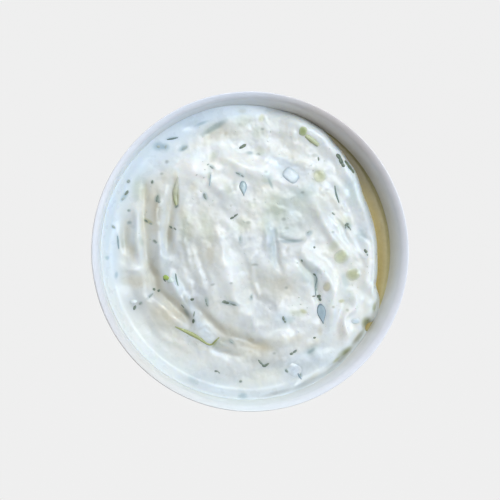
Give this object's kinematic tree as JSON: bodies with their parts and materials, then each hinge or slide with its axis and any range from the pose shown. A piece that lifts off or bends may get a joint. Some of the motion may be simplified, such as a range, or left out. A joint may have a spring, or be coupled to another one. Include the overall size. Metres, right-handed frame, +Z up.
{
  "type": "tzatziki dip in a bowl",
  "caption": "Thick white yogurt dip with cucumber and dill, spooned in swirls into a small plain white bowl with a rounded lip and a foot ring.",
  "frame": {"origin": "centre of the foot ring, on the surface that the bowl stands on", "axes": "+Z up along the bowl's axis; the side where the dip stands clear of the wall is towards +X"},
  "size_m": [0.106, 0.106, 0.046],
  "materials": {
    "glaze": "smooth white ceramic glaze, glossy, faintly cool",
    "yogurt": "thick moist yogurt, soft white and slightly translucent",
    "oily_whey": "thin tan whey and oil, wet and glossy",
    "dill": "chopped dill, dark green, moist",
    "cucumber": "cucumber flesh, seeds and peel, translucent pale green, wet"
  },
  "bodies": {
    "root": {"bowl": "glaze", "dip": "yogurt", "whey": "oily_whey"}
  },
  "joints": []
}
